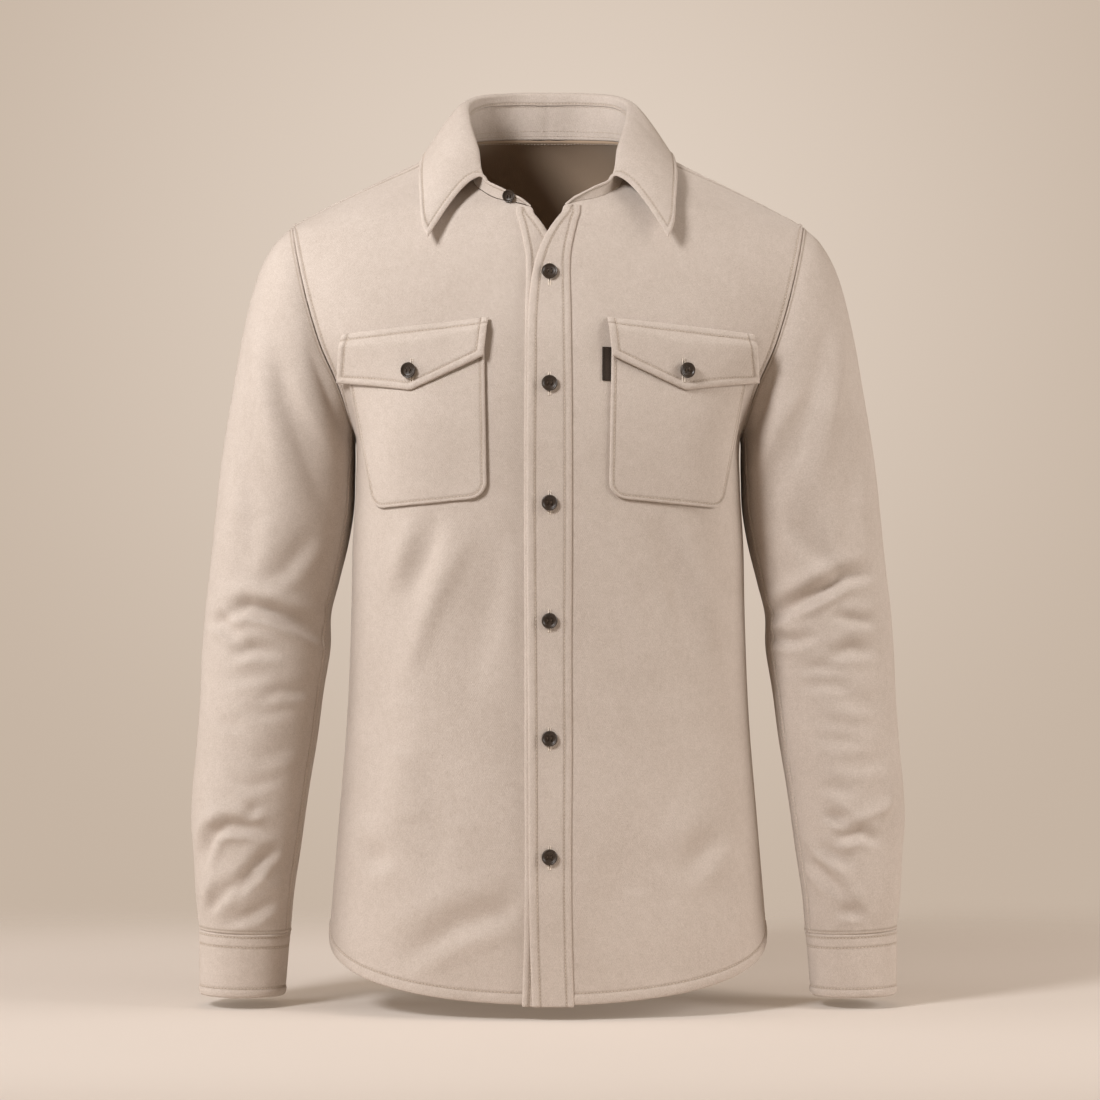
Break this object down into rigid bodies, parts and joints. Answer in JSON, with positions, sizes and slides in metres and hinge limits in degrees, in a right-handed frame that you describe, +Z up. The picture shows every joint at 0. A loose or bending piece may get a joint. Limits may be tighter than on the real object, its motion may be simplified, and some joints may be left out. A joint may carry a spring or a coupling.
{
  "type": "overshirt",
  "caption": "Hollow brushed cotton overshirt in its worn shape, point collar open at the throat, button front, flap chest pockets, long sleeves with buttoned cuffs and shirttail hem.",
  "frame": {"origin": "between the shoulders, level with the top of the shoulder seams beside the collar, where the wearer's shoulders carry it", "axes": "+Z up, -Y the way the wearer faces, +X the wearer's left"},
  "size_m": [0.6404, 0.2634, 0.8234],
  "materials": {
    "cloth": "brushed sand cotton twill, matt, with a short soft nap",
    "button": "dark brown horn look, satin, with a polished rim",
    "tab": "dark brown woven tape, matt, bare"
  },
  "bodies": {
    "root": {"yoke": "cloth", "back": "cloth", "front_left": "cloth", "front_right": "cloth", "button_placket": "cloth", "under_placket": "cloth", "collar_stand": "cloth", "collar_leaf": "cloth", "sleeve_left": "cloth", "sleeve_right": "cloth", "cuff_left": "cloth", "cuff_right": "cloth", "pocket_left": "cloth", "pocket_right": "cloth", "flap_left": "cloth", "flap_right": "cloth", "button_collar": "button", "button_front_1": "button", "button_front_2": "button", "button_front_3": "button", "button_front_4": "button", "button_front_5": "button", "button_front_6": "button", "button_flap_left": "button", "button_flap_right": "button", "button_cuff_left": "button", "button_cuff_right": "button", "pocket_tab": "tab"}
  },
  "joints": []
}
